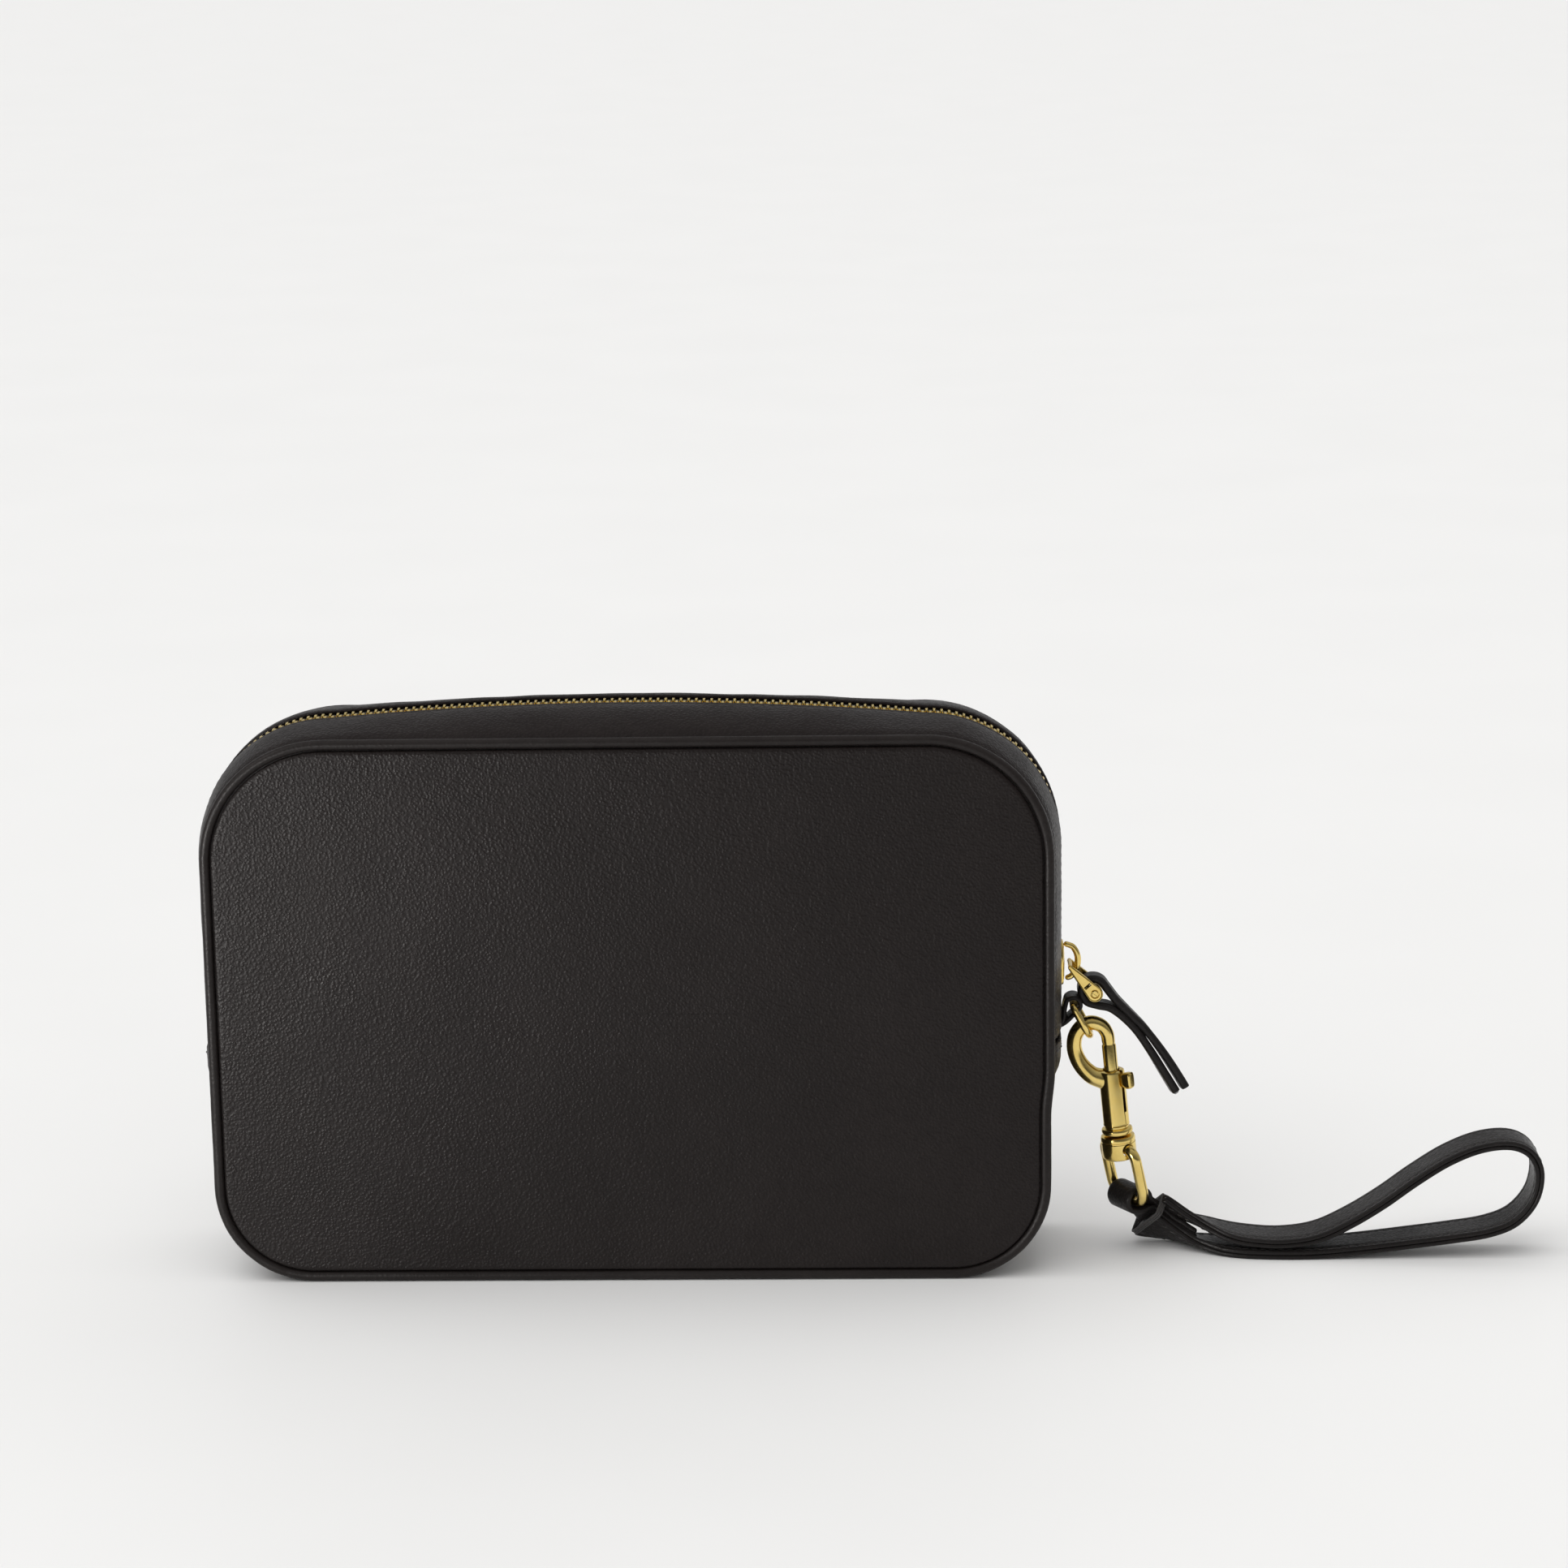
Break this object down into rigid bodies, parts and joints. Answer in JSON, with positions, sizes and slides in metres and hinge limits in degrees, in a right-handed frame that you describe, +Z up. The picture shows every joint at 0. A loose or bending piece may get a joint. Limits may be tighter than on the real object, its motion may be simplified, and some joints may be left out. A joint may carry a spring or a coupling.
{
  "type": "makeup bag",
  "caption": "Boxy zip-around leather makeup bag with piped edges, a front that folds open and a detachable wrist strap.",
  "frame": {"origin": "middle of the gusset's flat bottom, on the ground", "axes": "+X along the bag's length towards the strap, -Y out of the front panel, +Z up"},
  "size_m": [0.3824, 0.05, 0.1651],
  "materials": {
    "leather": "fine-grained satin nappa",
    "gold": "polished gold plate",
    "lining": "matte woven lining",
    "zip_tape": "matte woven tape",
    "thread": "waxed thread"
  },
  "bodies": {
    "bag": {"panel_back": "leather", "piping_back": "leather", "lining_back": "lining", "panel_front_lower": "leather", "piping_front_lower": "leather", "lining_front_lower": "lining", "gusset_lower": "leather", "lining_gusset": "lining", "zip_facing_back": "leather", "zip_tape_back": "zip_tape", "zip_teeth_back": "gold", "zip_bottom_stop": "gold", "zip_top_stop_back": "gold", "ring_tab": "leather"},
    "flap": {"panel_front_upper": "leather", "piping_front_upper": "leather", "lining_front_upper": "lining", "zip_facing_front": "leather", "zip_tape_front": "zip_tape", "zip_teeth_front": "gold", "zip_top_stop_front": "gold"},
    "slider": {"slider_body": "gold", "slider_bridge": "gold"},
    "puller": {"puller": "gold", "puller_pin": "gold"},
    "pull": {"pull_tab": "leather"},
    "ring": {"d_ring": "gold"},
    "hook": {"snap_hook": "gold", "bolt_spring": "gold"},
    "bolt": {"snap_bolt": "gold", "bolt_knob": "gold"},
    "collar": {"swivel_collar": "gold"},
    "eye": {"eye_ring": "gold"},
    "strap": {"strap_keeper": "leather", "strap_loop": "leather", "strap_binding": "thread"}
  },
  "joints": [
    {"name": "flap_fold", "type": "hinge", "parent": "bag", "child": "flap", "pos_m": [0, -0.0256, 0.07], "axis": [1, 0, 0], "range_deg": [0, 70]},
    {"name": "slider_travel", "type": "slide", "parent": "bag", "child": "slider", "axis": [0, 0, 1], "range_m": [0, 0.036]},
    {"name": "puller_hinge", "type": "hinge", "parent": "slider", "child": "puller", "pos_m": [0.127, 0, 0.086], "axis": [0, 1, 0], "range_deg": [-30, 0]},
    {"name": "pull_hinge", "type": "hinge", "parent": "puller", "child": "pull", "pos_m": [0.1319, 0, 0.0783], "axis": [0, 1, 0], "range_deg": [-20, 4]},
    {"name": "ring_swing", "type": "hinge", "parent": "bag", "child": "ring", "pos_m": [0.1257, 0, 0.0747], "axis": [0, 1, 0], "range_deg": [-11, 4]},
    {"name": "hook_swing", "type": "hinge", "parent": "ring", "child": "hook", "pos_m": [0.1307, 0, 0.0652], "axis": [0, 1, 0], "range_deg": [-25, 4]},
    {"name": "bolt_travel", "type": "slide", "parent": "hook", "child": "bolt", "axis": [0.0958, 0, -0.9954], "range_m": [0, 0.006], "stiffness_N_per_m": 400, "springref_m": -0.003},
    {"name": "swivel", "type": "hinge", "parent": "hook", "child": "collar", "pos_m": [0.13864, 0, 0.03513], "axis": [-0.0958, 0, 0.9954], "range_deg": [-90, 55]},
    {"name": "eye_swing", "type": "hinge", "parent": "collar", "child": "eye", "pos_m": [0.13899, 0, 0.03154], "axis": [0.5446, -0.8387, 0], "range_deg": [-40, 40]},
    {"name": "strap_swing", "type": "hinge", "parent": "eye", "child": "strap", "pos_m": [0.14244, 0.00224, 0.01505], "axis": [0.5446, -0.8387, 0], "range_deg": [-5, 28]}
  ]
}
